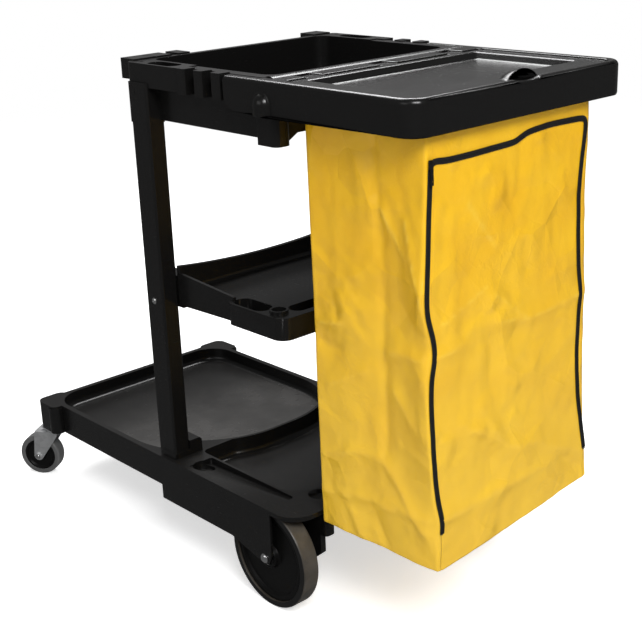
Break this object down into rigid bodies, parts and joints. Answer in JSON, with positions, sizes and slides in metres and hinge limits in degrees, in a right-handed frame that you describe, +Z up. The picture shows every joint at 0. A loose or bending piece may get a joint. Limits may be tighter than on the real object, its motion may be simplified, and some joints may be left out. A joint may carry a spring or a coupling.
{
  "type": "janitor cart",
  "caption": "Wheeled janitor cart with a bucket platform, tool shelf, top bin and lidded frame carrying a zipped vinyl bag.",
  "frame": {"origin": "centre of the cart's footprint box, on the floor", "axes": "+X from the caster end to the bag end, +Y across the cart, +Z up"},
  "size_m": [1.2378, 0.5982, 0.989],
  "materials": {
    "deck_plastic": "satin moulded, light scuffs",
    "upright_plastic": "satin extruded",
    "bag_vinyl": "soft vinyl, low sheen",
    "zip_tape": "woven tape",
    "zip_metal": "dark enamel",
    "chrome_steel": "bright plated",
    "bright_steel": "plain turned",
    "zinc_steel": "zinc plated pressing",
    "wheel_plastic": "satin moulded",
    "wheel_rubber": "smooth non-marking tread",
    "caster_rubber": "smooth grey tread",
    "bush_plastic": "plain"
  },
  "bodies": {
    "cart": {"base_deck": "deck_plastic", "upright_left": "upright_plastic", "upright_right": "upright_plastic", "upright_screws": "chrome_steel", "mid_shelf": "deck_plastic", "top_bin": "deck_plastic", "bag_frame": "deck_plastic", "frame_screws": "chrome_steel", "lid_pin": "bright_steel", "bag_shell": "bag_vinyl", "zip_tape_bag": "zip_tape", "axle_left": "chrome_steel", "axle_right": "chrome_steel", "axle_nuts": "bright_steel", "axle_washers": "bright_steel", "caster_plate_left": "zinc_steel", "caster_plate_right": "zinc_steel", "caster_races": "zinc_steel", "caster_screws": "bright_steel"},
    "lid": {"lid_panel": "deck_plastic"},
    "wheel_left": {"wheel_hub_left": "wheel_plastic", "wheel_tyre_left": "wheel_rubber", "wheel_bush_left": "bush_plastic"},
    "wheel_right": {"wheel_hub_right": "wheel_plastic", "wheel_tyre_right": "wheel_rubber", "wheel_bush_right": "bush_plastic"},
    "swivel_left": {"caster_fork_left": "zinc_steel", "caster_axle_left": "chrome_steel"},
    "swivel_right": {"caster_fork_right": "zinc_steel", "caster_axle_right": "chrome_steel"},
    "caster_left": {"caster_hub_left": "wheel_plastic", "caster_tread_left": "caster_rubber"},
    "caster_right": {"caster_hub_right": "wheel_plastic", "caster_tread_right": "caster_rubber"},
    "flap": {"bag_flap": "bag_vinyl", "zip_tape_flap": "zip_tape"},
    "slider": {"zip_slider": "zip_metal", "zip_pull": "zip_metal"}
  },
  "joints": [
    {"name": "lid_hinge", "type": "hinge", "parent": "cart", "child": "lid", "pos_m": [0.2969, 0, 0.968], "axis": [0, -1, 0], "range_deg": [0, 105]},
    {"name": "wheel_left_spin", "type": "hinge", "parent": "cart", "child": "wheel_left", "pos_m": [0.24289, -0.2454, 0.101], "axis": [0, 1, 0], "continuous": true},
    {"name": "wheel_right_spin", "type": "hinge", "parent": "cart", "child": "wheel_right", "pos_m": [0.24289, 0.2454, 0.101], "axis": [0, 1, 0], "continuous": true},
    {"name": "swivel_left_turn", "type": "hinge", "parent": "cart", "child": "swivel_left", "pos_m": [-0.53811, -0.238, 0.107], "axis": [0, 0, 1], "continuous": true},
    {"name": "swivel_right_turn", "type": "hinge", "parent": "cart", "child": "swivel_right", "pos_m": [-0.53811, 0.238, 0.107], "axis": [0, 0, 1], "continuous": true},
    {"name": "caster_left_spin", "type": "hinge", "parent": "swivel_left", "child": "caster_left", "pos_m": [-0.5721, -0.26093, 0.048], "axis": [0.5592, -0.829, 0], "continuous": true},
    {"name": "caster_right_spin", "type": "hinge", "parent": "swivel_right", "child": "caster_right", "pos_m": [-0.5721, 0.26093, 0.048], "axis": [0.5592, 0.829, 0], "continuous": true},
    {"name": "flap_fold", "type": "hinge", "parent": "cart", "child": "flap", "pos_m": [0.61121, -0.009, 0.26514], "axis": [0, 1, 0], "range_deg": [0, 90]},
    {"name": "zip_run", "type": "slide", "parent": "cart", "child": "slider", "axis": [0.0223, 0, -0.9998], "range_m": [0, 0.59]}
  ]
}
